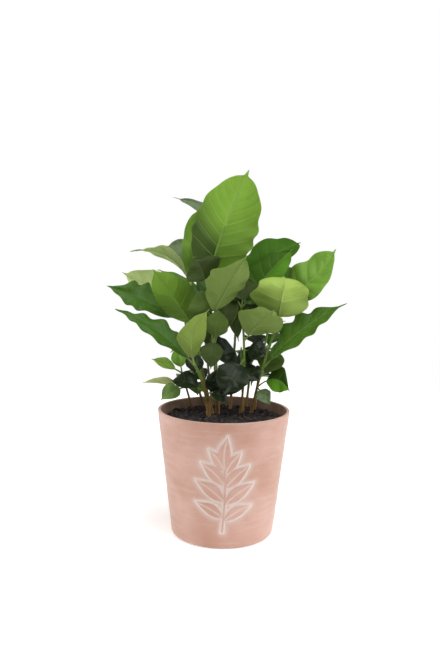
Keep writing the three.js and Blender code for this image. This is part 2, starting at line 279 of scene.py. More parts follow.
pot = {
    "height": 123.4,
    "topRadius": 65,
    "footRadius": 50.2,
    "footRounding": 3.7,
    "rimRounding": 0.9,
    "lip": 3.1,
    "wall": 4.4,
    "floor": 7,
    "floorRounding": 5,  # inside, where the wall meets the floor
    "frontTurn": 34,  # degrees to each side that the carving may cover
    "frontColumns": 172,
    "backColumns": 96,
    "footRows": 9,
    "carvedFrom": 16,
    "carvedTo": 112,
    "carvedRows": 200,
    "plainRows": 8,  # under the carving, and again over it
    "rimRows": 6,
    "insideRows": 30,
    "uneven": 0.12,  # a hand-turned wall
    "unevenSize": 30,
    "unevenStretch": (0.5, 2.0),
    "clay": "#b38977",
    "paleClay": "#c19c8f",
    "wash": "#d6c8c1",
    "dampClay": "#b18b77",
    "soilStain": "#6c5a52",
    "cloud": 45,  # paler patches of the clay
    "streak": 28,  # brush marks round the wall
    "streakFlat": 7,
    "grit": 1.6,
    "turning": 2.2,  # rings left by the wheel
    "smear": 9,
}

# sprig in low relief: its stalk, and for each pair of leaves the height where it sits, the leaves' length
# and half-width, and their angle from the stalk
sprig = {
    "foot": 18,
    "top": 78,
    "sway": 2.2,
    "swayLength": 26,
    "stalk": 1.4,
    "pairs": [(29, 31, 6.0, 62), (45, 35, 7.0, 55), (61, 32, 6.8, 47), (75, 26, 5.8, 36)],
    "stagger": 2.5,  # the left leaf of a pair over the right one
    "topLeaf": (33, 6.8, 4),
    "bow": 0.06,  # of a leaf's length
    "skew": 0.85,
    "span": (0.02, 0.995),  # share of a leaf's length that its outline is worked out for
    "past": 0.01,  # least distance beyond a leaf's ends
    "raise": 0.9,
    "bevel": (0.5, -2.2),  # the face rises between these distances from the edge
    "groove": 1.0,
    "grooveAt": 0.7,
    "grooveHalf": 0.95,
    "rib": 0.75,
    "ribHalf": 0.75,
    "ribFrom": (0, 0.1),  # share of a leaf's length where its rib begins, and where it ends
    "ribTo": (0.97, 0.8),
    "ribInside": (0.4, -0.8),
    "halo": 3.2,  # limewash smudged round the edge
    "haloFrom": 0.5,
    "haloInside": -0.6,
    "washed": (0.95, 0.8, 0.4),  # limewash left in groove, rib and halo
}


def outerRadius(z):
    return pot["footRadius"] + (pot["topRadius"] - pot["footRadius"]) * z / pot["height"]


def innerRadius(z):
    share = (z - pot["floor"]) / (pot["height"] - pot["floor"])
    return outerRadius(z) - pot["wall"] - (pot["lip"] - pot["wall"]) * share


def stalkX(z):
    return sprig["sway"] * np.sin((z - sprig["foot"]) / sprig["swayLength"])


def carving(across, z):
    # distance to the nearest edge of the sprig, negative inside it, and how near a leaf's midrib is.
    # a leaf's half-width follows a skewed sine from its base to its point
    inStalk = np.clip(z, sprig["foot"], sprig["top"])
    distance = np.hypot(across - stalkX(inStalk), z - inStalk) - sprig["stalk"]
    rib = np.zeros_like(across)
    leaves = [(sprig["top"], *sprig["topLeaf"])]
    for h, length, half, angle in sprig["pairs"]:
        leaves += [(h, length, half, angle), (h + sprig["stagger"], length, half, -angle)]
    for h, length, half, angle in leaves:
        turn = math.radians(angle)
        dx, dz = across - stalkX(h), z - h
        u = (dx * math.sin(turn) + dz * math.cos(turn)) / length
        v = dx * math.cos(turn) - dz * math.sin(turn)
        v = v + sprig["bow"] * length * np.sin(np.pi * np.clip(u, 0, 1)) * np.sign(angle)
        skewed = np.pi * np.clip(u, *sprig["span"]) ** sprig["skew"]
        edge = half * np.sin(skewed)
        slope = half * np.pi * np.cos(skewed) / length
        beside = (np.abs(v) - edge) / np.sqrt(1 + slope ** 2)
        beyond = np.hypot(np.maximum(np.abs(u - 0.5) - 0.5, 0) * length, np.maximum(np.abs(v) - edge, 0))
        away = np.where((u > 0) & (u < 1), beside, np.maximum(beyond, sprig["past"]))
        ribbed = smoothStep(*sprig["ribInside"], away) * smoothStep(*sprig["ribFrom"], u)
        ribbed = ribbed * smoothStep(*sprig["ribTo"], u)
        rib = np.maximum(rib, np.exp(-(v / sprig["ribHalf"]) ** 2) * ribbed)
        distance = np.minimum(distance, away)
    return distance, rib


def terracotta():
    # fired clay brushed with thin limewash: matt and chalky, pale streaks round the wall, white left in
    # the carving
    clay, tree, shader, place = startMaterial("whitewashed terracotta")
    cloud = addNode(tree, "TexNoise", {
        "Vector": place, "Scale": 1 / (pot["cloud"] * mm), "Detail": 4.0})
    squash = addNode(tree, "Mapping", {"Vector": place, "Scale": (1, 1, pot["streakFlat"])})
    streak = addNode(tree, "TexNoise", {
        "Vector": squash.outputs[0], "Scale": 1 / (pot["streak"] * mm), "Detail": 5.0, "Roughness": 0.6})
    body = addNode(tree, "MapRange", {
        "Value": cloud.outputs["Fac"], "From Min": 0.35, "From Max": 0.65})
    tint = addNode(tree, "Mix", {
        0: body.outputs[0], 6: linear(pot["clay"]), 7: linear(pot["paleClay"])}, data_type="RGBA")
    brushed = addNode(tree, "MapRange", {
        "Value": streak.outputs["Fac"], "From Min": 0.5, "From Max": 0.8, "To Max": 0.22})
    carved = addNode(tree, "Attribute", {}, attribute_name="wash")
    grit = addNode(tree, "TexNoise", {
        "Vector": place, "Scale": 1 / (pot["grit"] * mm), "Detail": 3.0})
    worn = addNode(tree, "MapRange", {
        "Value": grit.outputs["Fac"], "To Min": 0.75, "To Max": 1.15})
    left = addNode(tree, "Math", {
        0: carved.outputs["Fac"], 1: worn.outputs[0]}, operation="MULTIPLY")
    share = addNode(tree, "Math", {
        0: left.outputs[0], 1: brushed.outputs[0]}, operation="MAXIMUM")
    colour = addNode(tree, "Mix", {
        0: share.outputs[0], 6: tint.outputs[2], 7: linear(pot["wash"])}, data_type="RGBA")
    rough = addNode(tree, "MapRange", {
        "Value": grit.outputs["Fac"], "To Min": 0.78, "To Max": 0.98})
    turned = addNode(tree, "TexWave", {
        "Vector": place, "Scale": 0.3 / (pot["turning"] * mm), "Distortion": 1.5}, bands_direction="Z")
    height = addNode(tree, "Math", {
        0: turned.outputs["Fac"], 1: 0.35, 2: grit.outputs["Fac"]}, operation="MULTIPLY_ADD")
    bump = addNode(tree, "Bump", {
        "Height": height.outputs[0], "Strength": 0.35, "Distance": 0.3 * mm})
    setInputs(shader, {
        "Base Color": colour.outputs[2], "Roughness": rough.outputs[0], "Normal": bump.outputs[0],
        "Specular IOR Level": 0.2, "Sheen Weight": 0.35, "Sheen Roughness": 0.5})
    return clay


def dampTerracotta():
    # inside of the wall: dark with water and smeared with soil
    damp, tree, shader, place = startMaterial("damp terracotta")
    smear = addNode(tree, "TexNoise", {
        "Vector": place, "Scale": 1 / (pot["smear"] * mm), "Detail": 5.0})
    tint = addNode(tree, "Mix", {
        0: smear.outputs["Fac"], 6: linear(pot["dampClay"]), 7: linear(pot["soilStain"])}, data_type="RGBA")
    bump = addNode(tree, "Bump", {
        "Height": smear.outputs["Fac"], "Strength": 0.4, "Distance": 0.6 * mm})
    setInputs(shader, {"Base Color": tint.outputs[2], "Roughness": 0.8, "Normal": bump.outputs[0]})
    return damp


def makePot():
    # a profile of radius and height carried round the axis: rounded foot, outer wall, rounded rim, inside
    # and floor. The sprig presses the outer wall in and out
    near = np.linspace(-pot["frontTurn"], pot["frontTurn"], pot["frontColumns"])
    far = np.linspace(pot["frontTurn"], 360 - pot["frontTurn"], pot["backColumns"] + 2)[1:-1]
    turn = np.radians(np.concatenate([near, far]))  # counted from the front
    footTurn = np.radians(np.linspace(0, 90, pot["footRows"]))
    footZ = pot["footRounding"] * (1 - np.cos(footTurn))
    footR = outerRadius(footZ) - pot["footRounding"] * (1 - np.sin(footTurn))
    wallTop = pot["height"] - pot["rimRounding"]
    wallZ = np.concatenate([
        np.linspace(footZ[-1], pot["carvedFrom"], pot["plainRows"])[1:],
        np.linspace(pot["carvedFrom"], pot["carvedTo"], pot["carvedRows"])[1:],
        np.linspace(pot["carvedTo"], wallTop, pot["plainRows"])[1:],
    ])
    rimTurn = np.radians(np.linspace(0, 90, pot["rimRows"]))[1:]
    rimZ = wallTop + pot["rimRounding"] * np.sin(rimTurn)
    rimIn = pot["rimRounding"] * (1 - np.cos(rimTurn))
    insideZ = np.linspace(wallTop, pot["floor"] + pot["floorRounding"], pot["insideRows"])
    floorR = innerRadius(pot["floor"]) - pot["floorRounding"]
    profileZ = np.concatenate([footZ, wallZ, rimZ, rimZ[::-1], insideZ, [pot["floor"]]])
    profileR = np.concatenate([
        footR, outerRadius(wallZ), outerRadius(rimZ) - rimIn, (innerRadius(rimZ) + rimIn)[::-1],
        innerRadius(insideZ), [floorR]])
    row = np.arange(len(profileZ))[:, None]
    wallEnd = len(footZ) + len(wallZ)
    wall = (row >= len(footZ)) & (row < wallEnd)

    z, phi = np.meshgrid(profileZ, turn, indexing="ij")
    radius = np.broadcast_to(profileR[:, None], z.shape).copy()
    across = np.where(phi > np.pi, phi - fullTurn, phi) * radius
    distance, rib = carving(across, z)
    groove = np.exp(-((distance - sprig["grooveAt"]) / sprig["grooveHalf"]) ** 2)
    lifted = sprig["raise"] * smoothStep(*sprig["bevel"], distance)
    radius += wall * (lifted - sprig["groove"] * groove - sprig["rib"] * rib)
    wide, tall = pot["unevenStretch"]
    radius += wall * pot["uneven"] * ripples(across * wide, z * tall, pot["unevenSize"])
    halo = np.exp(-(np.maximum(distance - sprig["haloFrom"], 0) / sprig["halo"]) ** 2)
    halo *= distance > sprig["haloInside"]
    inGroove, inRib, inHalo = sprig["washed"]
    wash = wall * np.clip(inGroove * groove + inRib * rib + inHalo * halo, 0, 1)
    rings = np.stack([radius * np.sin(phi), -radius * np.cos(phi), z], -1)

    clayRows = wallEnd + 2 * len(rimZ) - 2  # the rest, inside the rim, is damp
    skin = shell(rings, (row[:-1] >= clayRows).astype(int), 0)
    ends = np.zeros(2)
    makePiece("potWall", [skin], [terracotta(), dampTerracotta()], ["pot"],
              {"wash": np.concatenate([wash.ravel(), ends])})


makePot()
print("pot made")


# soil

soil = {
    "level": 115,
    "edgeDrop": 1.8,
    "edgeWidth": 8,
    "clear": 0.6,  # from the pot's wall
    "topClear": 0.5,
    "overFloor": 0.3,
    "rings": 90,
    "columns": 220,
    "smallest": 0.012,  # innermost ring, of the outermost
    "lumps": [(16, 0.9), (5.5, 0.6), (2.4, 0.35)],  # size and height
    "lumpFade": 3,  # towards the wall
    "sunk": 0.2,
    "grain": 3,
    "dark": "#191515",
    "brown": "#352c2d",
    "bark": "#41352d",
}

crumb = {
    "many": 900,
    "inset": 1.5,  # from the wall
    "innermost": 0.02,  # of the soil's area
    "size": (3.0, 0.24),  # shape and scale of the skewed spread of radii
    "least": 0.4,
    "stretch": (0.55, 1.5),
    "flat": 0.7,
    "rough": (0.75, 1.2),
    "rise": (0.25, 0.1),  # over the soil, and of its size
    "poles": 81,  # degrees up and down to the last rings
    "rows": 5,
    "columns": 7,
    "pit": 1.2,
}


def soilHeight(x, y, lumps):
    away = np.hypot(x, y)
    edge = innerRadius(soil["level"]) - soil["clear"]
    return soil["level"] + lumps - soil["edgeDrop"] * smoothStep(edge - soil["edgeWidth"], edge, away)


def soilBlock(top):
    # upper side: rings of shrinking radius lifted by lumps of three sizes; below it the block that fills
    # the pot
    turn = around(soil["columns"])
    reach = top * np.linspace(1, soil["smallest"], soil["rings"])
    radius, phi = np.meshgrid(reach, turn, indexing="ij")
    x, y = radius * np.cos(phi), radius * np.sin(phi)
    lumps = sum(height * ripples(x, y, size) for size, height in soil["lumps"])
    lumps = lumps * smoothStep(top, top - soil["lumpFade"], radius) - soil["sunk"]
    surface = np.stack([x, y, soilHeight(x, y, lumps)], -1)
    rounding = pot["floorRounding"]
    lowZ = pot["floor"] + soil["overFloor"]
    high = np.array([[lowZ], [lowZ + rounding]])
    wide = np.array([[innerRadius(lowZ) - rounding], [innerRadius(pot["floor"] + rounding)]])
    wide -= soil["clear"]
    base = np.stack([wide * np.cos(turn), wide * np.sin(turn), high + 0 * turn], -1)
    return shell(np.concatenate([base, surface]))


def soilCrumbs(top):
    # small balls squeezed, roughened and turned at random, strewn evenly over the top; each is of one of
    # three kinds
    many, rows, columns = crumb["many"], crumb["rows"], crumb["columns"]
    where = rng.uniform(0, fullTurn, many)
    away = (top - crumb["inset"]) * np.sqrt(rng.uniform(crumb["innermost"], 1, many))
    size = rng.gamma(*crumb["size"], many) + crumb["least"]
    stretch = rng.uniform(*crumb["stretch"], (many, 1, 1, 3)) * size[:, None, None, None]
    stretch[..., 2] *= crumb["flat"]
    lat = np.radians(np.linspace(-crumb["poles"], crumb["poles"], rows))
    v, u = np.meshgrid(lat, around(columns), indexing="ij")
    ball = np.stack([np.cos(v) * np.cos(u), np.cos(v) * np.sin(u), np.sin(v)], -1)
    ball = ball[None] * stretch * rng.uniform(*crumb["rough"], (many, rows, columns, 1))
    spin = rng.uniform(0, fullTurn, many)[:, None, None]
    turned = np.stack([
        ball[..., 0] * np.cos(spin) - ball[..., 1] * np.sin(spin),
        ball[..., 0] * np.sin(spin) + ball[..., 1] * np.cos(spin), ball[..., 2]], -1)
    x, y = away * np.cos(where), away * np.sin(where)
    over, share = crumb["rise"]
    centre = np.stack([x, y, soilHeight(x, y, over + share * size)], -1)
    kind = rng.integers(1, 4, many)
    return [shell(rings, k, k) for rings, k in zip(turned + centre[:, None, None], kind)]


def peat():
    # dark crumbly peat with fibres: dull, almost black when damp
    compost, tree, shader, place = startMaterial("moist peat compost")
    grain = addNode(tree, "TexNoise", {
        "Vector": place, "Scale": 1 / (soil["grain"] * mm), "Detail": 6.0})
    spread = addNode(tree, "MapRange", {
        "Value": grain.outputs["Fac"], "From Min": 0.4, "From Max": 0.75})
    tint = addNode(tree, "Mix", {
        0: spread.outputs[0], 6: linear(soil["dark"]), 7: linear(soil["brown"])}, data_type="RGBA")
    bump = addNode(tree, "Bump", {
        "Height": grain.outputs["Fac"], "Strength": 0.8, "Distance": 1 * mm})
    setInputs(shader, {"Base Color": tint.outputs[2], "Roughness": 0.95, "Normal": bump.outputs[0]})
    return compost


def looseBit(name, colour):
    # loose bit of peat, fibre or bark: one plain tone, dull and pitted
    chip, tree, shader, place = startMaterial(name)
    pits = addNode(tree, "TexNoise", {
        "Vector": place, "Scale": 1 / (crumb["pit"] * mm), "Detail": 3.0})
    bump = addNode(tree, "Bump", {
        "Height": pits.outputs["Fac"], "Strength": 0.6, "Distance": 0.4 * mm})
    setInputs(shader, {"Base Color": linear(colour), "Roughness": 0.9, "Normal": bump.outputs[0]})
    return chip


def makeSoil():
    top = innerRadius(soil["level"] - soil["edgeDrop"]) - soil["topClear"]
    block = soilBlock(top)
    tones = [
        peat(),
        looseBit("peat crumb", soil["dark"]),
        looseBit("fibre crumb", soil["brown"]),
        looseBit("bark chip", soil["bark"]),
    ]
    makePiece("compost", [block] + soilCrumbs(top), tones, ["soil"])


makeSoil()
print("soil made")


# seedlings

# a leaf's own values where it has no others
usual = {
    "arch": 0.1,  # bow towards the upper side, of the length
    "sway": 0,  # bow to the side
    "face": (0, 0, 1),  # where the upper side looks
    "fold": 12,  # degrees that each half is lifted
    "full": 0.85,  # less is rounder
    "curl": 0,  # how far the tip rolls back
    "wave": 1,
    "quilt": 1,
    "dim": (0.74, 0.74),  # painted shade: tone of each half at the stalk, of its full tone
    "lit": (0.4, 0.4),  # share of the length where the painted shade of each half ends and it has its full tone
}


def leaf(reach, width, upper="deep", lower="olive", **own):
    # reach runs from the stem to the tip; upper and lower name the colours of the two sides
    return {**usual, "reach": reach, "width": width, "tones": (upper, lower), **own}


# where each stands on the soil, its top, the sideways bend half way up, its radius at foot and top, and
# its leaves in pairs at a share of the height
seedlings = {
    "crown": {
        "foot": (-6, 13), "top": (-18, 2, 244), "bend": (2, -2), "girth": (2.1, 1.4),
        "pairs": [
            (0.42, [leaf((3, -3, -34), 24, "shade", arch=0.15, face=(0, -1, 0.4))]),
            (0.55, [
                leaf((24, 16, 44), 28, "dusk", face=(0, -0.3, 0.9)),
                leaf((4, -9, 37), 25, "moss", arch=0.05, face=(0, -1, 0.3))]),
            (0.6, [leaf((-2, -18, -28), 22, "dusk", arch=0.28, face=(0, -0.8, 0.6))]),
            (0.75, [
                leaf((32, -48, 62), 40, "mid", "sage", arch=0.04, face=(-0.35, 0.9, 0.4), fold=14,
                     full=0.8, wave=1.4, dim=(1, 1)),
                leaf((-3, 42, 22), 30, "shade"),
                leaf((-14, -8, 28), 34, "moss", arch=0.05, face=(0, -1, 0.3))]),
            (1, [
                # painted shadow darkens one half towards the stalk
                leaf((38, -14, 110), 64, "mid", "sunny", arch=0.03, sway=0.035, face=(0.15, 1, 0.1),
                     full=0.5, wave=0.8, dim=(0.6, 0.1), lit=(0.85, 0.6)),
                leaf((-13, -9, 28), 40, "dusk", arch=0.12, face=(0, -0.7, 0.6))]),
        ],
    },
    "left_tall": {
        "foot": (-11, 9), "top": (-33, 14, 243), "bend": (-4, -3), "girth": (1.9, 1.3),
        "pairs": [
            (0.52, [leaf((-3, -4, -24), 20, "shade", arch=0.15, face=(-0.2, -1, 0.4))]),
            (0.66, [
                leaf((-40, -29, 60), 38, "mid", "fresh", arch=0.06, face=(-0.2, 0.9, 0.6), full=0.75,
                     wave=1.2, dim=(0.64, 0.6), lit=(0.55, 0.55)),
                leaf((4, 34, 14), 24, arch=0.12)]),
            (1, [
                leaf((6, 10, 78), 34, "mid", "fresh", arch=0.04, face=(0.2, 1, 0.1), full=0.42),
                leaf((-60, -16, 33), 22, "mid", "mint", arch=0.24, face=(0, 0.45, 0.9), full=1.4)]),
        ],
    },
    "front_left": {
        "foot": (-15, 3), "top": (-28, -12, 167), "bend": (3, 3), "girth": (2.3, 1.4),
        "pairs": [
            (0.45, [
                leaf((-36, 10, 10), 24, "shade", arch=0.15, face=(0, -0.5, 0.9)),
                leaf((22, -8, -8), 18, "shade", arch=0.2, face=(0, -0.5, 0.9))]),
            (1, [
                leaf((13, -43, 58), 27, "mid", "spring", arch=0.05, sway=0.12, face=(-0.3, 0.9, 0.5),
                     wave=1.4),
                leaf((-78, 2, 54), 27, arch=0.04, sway=0.05, face=(0.1, -0.6, 0.8), full=1, wave=2.4)]),
        ],
    },
    "side_left": {
        "foot": (-20, 44), "top": (-40, 22, 208), "bend": (-3, 0), "girth": (1.3, 1.1),
        "pairs": [
            (0.3, [
                leaf((2, -22, -10), 22, "moss", arch=0.2, face=(0, -0.6, 0.8)),
                leaf((-20, 26, -4), 20, "shade", arch=0.2)]),
            (0.42, [leaf((13, -16, -6), 20, "shade", arch=0.15, face=(0, -0.8, 0.6))]),
            (0.55, [leaf((-26, 34, 12), 26, arch=0.2)]),
            (1, [
                leaf((-78, -7, 34), 38, arch=0.04, face=(0, -0.7, 0.8), wave=2.2),
                leaf((-67, 23, 47), 40, "mid", "mint", arch=0.12, face=(0, 0.9, 0.4), full=0.6)]),
        ],
    },
    "small_left": {
        "foot": (-33, 39), "top": (-43, 30, 153), "bend": (0, 0), "girth": (1.1, 0.9),
        "pairs": [
            (0.6, [
                leaf((-46, 5, 3), 12, "straw", "sage", face=(0, -0.5, 0.9), wave=0.4),
                leaf((-25, -15, -11), 20, "pale", arch=0.15, face=(0, -0.7, 0.7))]),
            (1, [
                leaf((-31, -5, 15), 15, "young", "fresh", arch=0.06, face=(0.3, -0.6, 0.7), wave=0.4),
                leaf((-5, -6, 29), 17, "bright", "fresh", arch=0.03, face=(-0.2, -1, 0.3), wave=0.4,
                     dim=(0.95, 0.95))]),
        ],
    },
    "centre": {
        "foot": (17, 16), "top": (16, 8, 222), "bend": (3, -4), "girth": (1.2, 1),
        "pairs": [
            (0.42, [leaf((14, -18, -8), 22, "shade", arch=0.2, face=(0, -0.8, 0.6))]),
            (0.53, [leaf((-21, -20, -34), 33, "shade", arch=0.2, face=(0, -1, 0.5), full=0.65)]),
            (0.7, [
                leaf((26, -43, 34), 44, "mid", "sage", arch=0.05, face=(0.1, 0.8, 0.7), wave=1.5,
                     dim=(0.86, 0.86))]),
            (0.85, [leaf((13, 8, 21), 22, "dusk", arch=0.05, face=(-0.2, -0.8, 0.4))]),
            (1, [
                leaf((-14, 28, 26), 24, "dusk", arch=0.05, face=(0.2, -0.8, 0.4)),
                leaf((5, 10, 32), 32, "dusk", arch=0.05, face=(-0.3, -0.7, 0.5)),
                # painted shade darkens one half all along
                leaf((52, 32, 60), 38, "glade", arch=0.05, face=(-0.3, -0.7, 0.5), full=0.7,
                     dim=(0.55, 1), lit=(3, 3))]),
        ],
    },
    "inner": {
        "foot": (20, 24), "top": (17, 26, 178), "bend": (0, 2), "girth": (1.1, 0.9),
        "pairs": [
            (0.55, [
                leaf((16, 3, 10), 18, "shade", arch=0.2, face=(0, -0.6, 0.8)),
                leaf((-22, 0, 2), 18, "shade", arch=0.2)]),
            (0.8, [leaf((4, -10, -21), 22, "shade", arch=0.15, face=(0, -1, 0.4))]),
            (1, [
                leaf((27, -6, -4), 30, "shade", arch=0.12, face=(0, -0.6, 0.8)),
                leaf((-26, -10, -7), 36, "shade", arch=0.12, face=(0, -0.8, 0.6))]),
        ],
    },
    "front_right": {
        "foot": (28, 18), "top": (51, 0, 207), "bend": (-2, 0), "girth": (1.3, 1.1),
        "pairs": [
            (0.3, [
                # painted shade darkens one half all along
                leaf((32, -10, -2), 30, "glade", sway=-0.3, face=(0, -0.8, 0.6), dim=(0.3, 1),
                     lit=(3, 3)),
                leaf((12, -20, -14), 15, "grey", arch=0.16, face=(-0.2, -0.8, 0.6))]),
            (0.39, [leaf((22, 15, 26), 32, "moss", face=(-0.3, -0.7, 0.6))]),
            (0.51, [
                # painted shade darkens the whole leaf
                leaf((81, -6, 67), 32, "mid", arch=0.09, face=(-0.3, -0.6, 0.75), full=1, wave=2.6,
                     dim=(0.8, 0.8), lit=(3, 3)),
                leaf((-11, -1, -18), 9, "grey", face=(-1, -0.2, 0.2), wave=0.3)]),
            (0.82, [leaf((13, 9, 13), 9, "grey", arch=0.05, face=(-0.8, -0.3, 0.3), wave=0.3)]),
            (1, [
                leaf((8, -8, 53), 58, "mid", "lime", arch=-0.1, sway=0.04, face=(-0.1, 0.9, 0.3), fold=7,
                     full=0.45, curl=14, wave=1.3, dim=(0.66, 0.55), lit=(0.65, 0.65))]),
        ],
    },
    "side_right": {
        "foot": (32, 30), "top": (52, 34, 228), "bend": (-3, 0), "girth": (1.2, 1),
        "pairs": [
            (0.3, [leaf((30, 18, -2), 22, "shade", arch=0.2)]),
            (0.55, [
                leaf((32, 38, 8), 28, arch=0.15),
                leaf((-17, 20, 12), 28, "shade", arch=0.15)]),
            (1, [
                leaf((58, -8, 54), 48, "bright", "sage", arch=0.06, sway=0.17, face=(-0.4, -0.7, 0.6),
                     full=0.65, wave=1.3, quilt=2.2),
                leaf((16, 40, 36), 34, "mid", "sage")]),
        ],
    },
    "back_centre": {
        "foot": (7, 36), "top": (14, 36, 250), "bend": (0, 4), "girth": (1.3, 1.1),
        "pairs": [
            (0.6, [
                leaf((24, -4, 22), 24, "shade", arch=0.15),
                leaf((-24, 14, 20), 24, "shade", arch=0.15)]),
            (1, [
                leaf((65, 30, 39), 40, "forest", arch=0.08, face=(0, -0.6, 0.7), full=0.5, dim=(1, 1)),
                leaf((-69, 16, 83), 20, "grey", "sage", arch=0.06, sway=0.19, face=(0.3, -0.8, 0.4),
                     full=0.42),
                leaf((-78, 19, 33), 38, "grey", "sage", face=(0.2, -0.8, 0.5), full=0.45),
                leaf((0, -14, -62), 20, "dusk", sway=0.06, face=(0, -1, 0.2))]),
        ],
    },
    "back_left": {
        "foot": (-12, 52), "top": (-24, 62, 212), "bend": (0, 3), "girth": (1.3, 1),
        "pairs": [
            (0.3, [
                leaf((-24, 30, -10), 22, "shade", arch=0.2),
                leaf((26, 24, -10), 22, "shade", arch=0.2)]),
            (0.5, [
                leaf((-42, 34, 2), 28, arch=0.18),
                leaf((16, 46, -6), 30, arch=0.18)]),
            (0.62, [leaf((10, -12, 22), 30, "dusk", arch=0.08, face=(0, -1, 0.3))]),
            (0.75, [
                leaf((-36, 6, 22), 26, "mid", "sage", arch=0.12),
                leaf((34, 14, 18), 26, arch=0.12)]),
            (1, [
                leaf((-50, 26, 46), 36, "mid", "sage"),
                leaf((28, 38, 56), 36)]),
        ],
    },
    "back_right": {
        "foot": (24, 48), "top": (34, 64, 206), "bend": (0, 3), "girth": (1.3, 1),
        "pairs": [
            (0.3, [
                leaf((36, 14, -8), 22, "shade", arch=0.2),
                leaf((-8, -14, 16), 24, "shade", face=(0, -1, 0.4))]),
            (0.42, [leaf((-12, -8, 22), 28, "shade", arch=0.08, face=(0, -1, 0.3))]),
            (0.5, [
                leaf((30, 36, 8), 28, arch=0.18),
                leaf((-6, 46, -4), 28, "mid", "sage", arch=0.18),
                leaf((8, -6, 20), 26, "shade", face=(0, -1, 0.3))]),
            (0.75, [leaf((34, 6, 22), 26, arch=0.12)]),
            (1, [
                leaf((52, 18, 44), 36, "mid", "sage"),
                leaf((-30, 42, 44), 34)]),
        ],
    },
}


# stems

stem = {
    "overSoil": 0.3,
    "flare": 0.4,
    "flareHeight": 7,
    "belowPair": 6,  # where bark gives way to the green shoot
    "sunk": 2.5,  # below the soil, and of a shoot over its stem
    "sides": 18,
    "ringStep": 1.2,
    "leastRings": 8,
    "ridges": [(5, 0.11, 0, 0.05), (9, -0.23, 1.3, 0.035)],  # count, twist for each mm, start and height
    "lump": 0.05,
    "lumpSize": 3.0,
    "lumpStretch": (2.2, 0.5),
    "knot": 0.25,  # leaf scars up the bark
    "knotStep": 19,
    "knotAt": 9,
    "knotHalf": 1.1,
    "knotFrom": (4, 10),
    "shootRough": 0.25,  # of the bark's roughness
    "shootFatter": 0.06,
    "bud": 4,
    "budFrom": 0.9,  # share of the stem that gives the bud its direction
    "budProfile": [(0.35, 0.98), (0.65, 0.8), (0.9, 0.45), (1, 0.2)],  # height and radius
    "bark": "#7a5a30",
    "paleBark": "#97763f",
    "green": "#5f6f2c",
    "greenFrom": 126,
    "greenTo": 158,
    "crack": 1.4,
    "crackLong": 0.18,
    "shoot": "#5f7a2c",
    "woody": "#6a6230",
    "woodyTo": 152,
    "shootGloss": 0.22,
}


def tallness(seedling):
    return seedling["top"][2] - soil["level"]


def shootStart(seedling):
    lowestPair = seedling["pairs"][0][0]
    return lowestPair - stem["belowPair"] / tallness(seedling)


def stemPoint(seedling, share):
    # straight from foot to top, plus a bend that is strongest half way up
    foot = np.array([*seedling["foot"], soil["level"] + stem["overSoil"]])
    top = np.array(seedling["top"])
    bend = np.array([*seedling["bend"], 0])
    t = np.asarray(share)[..., None]
    return foot + (top - foot) * t + bend * 4 * t * (1 - t)


def stemRadius(seedling, share):
    # even taper, plus a flare that dies away above the soil
    foot, top = seedling["girth"]
    height = np.maximum(tallness(seedling) * share, 0)
    return foot + (top - foot) * share + stem["flare"] * np.exp(-height / stem["flareHeight"])


def stemRings(seedling, start, end, rough):
    # level rings up the stem; rough adds ridges and lumps along the bark and a swelling at each leaf scar
    tall = tallness(seedling)
    share = np.linspace(start, end, max(int((end - start) * tall / stem["ringStep"]), stem["leastRings"]))
    s, phi = np.meshgrid(share, around(stem["sides"]), indexing="ij")
    height = s * tall
    ridges = sum(deep * np.sin(count * phi + height * twist + first)
                 for count, twist, first, deep in stem["ridges"])
    wide, long = stem["lumpStretch"]
    lumps = stem["lump"] * ripples(phi * wide, height * long, stem["lumpSize"])
    knots = np.exp(-((height % stem["knotStep"] - stem["knotAt"]) / stem["knotHalf"]) ** 2)
    knots = stem["knot"] * knots * smoothStep(*stem["knotFrom"], height)
    radius = stemRadius(seedling, s) * (1 + rough * (ridges + lumps)) + rough * knots
    centre = stemPoint(seedling, share)[:, None]
    return centre + np.stack([radius * np.cos(phi), radius * np.sin(phi), np.zeros_like(phi)], -1)


def youngBark():
    # thin tan bark over green: fine cracks along the stem, greener towards the leaves
    bark, tree, shader, place = startMaterial("young coffee bark")
    fine = addNode(tree, "Mapping", {"Vector": place, "Scale": (1, 1, stem["crackLong"])})
    crack = addNode(tree, "TexNoise", {
        "Vector": fine.outputs[0], "Scale": 1 / (stem["crack"] * mm), "Detail": 5.0})
    tint = addNode(tree, "Mix", {
        0: crack.outputs["Fac"], 6: linear(stem["bark"]), 7: linear(stem["paleBark"])}, data_type="RGBA")
    axis = addNode(tree, "SeparateXYZ", {0: place})
    up = addNode(tree, "MapRange", {
        "Value": axis.outputs["Z"], "From Min": stem["greenFrom"] * mm, "From Max": stem["greenTo"] * mm,
        "To Max": 0.9})
    colour = addNode(tree, "Mix", {
        0: up.outputs[0], 6: tint.outputs[2], 7: linear(stem["green"])}, data_type="RGBA")
    bump = addNode(tree, "Bump", {
        "Height": crack.outputs["Fac"], "Strength": 0.5, "Distance": 0.4 * mm})
    setInputs(shader, {"Base Color": colour.outputs[2], "Roughness": 0.72, "Normal": bump.outputs[0]})
    return bark


def makeStems():
    bark = youngBark()
    for name, seedling in seedlings.items():
        rings = stemRings(seedling, -stem["sunk"] / tallness(seedling), shootStart(seedling), 1)
        makePiece(f"bark_{name}", [shell(rings)], [bark], [f"stem_{name}"])


makeStems()
print("stems made")


# leaves

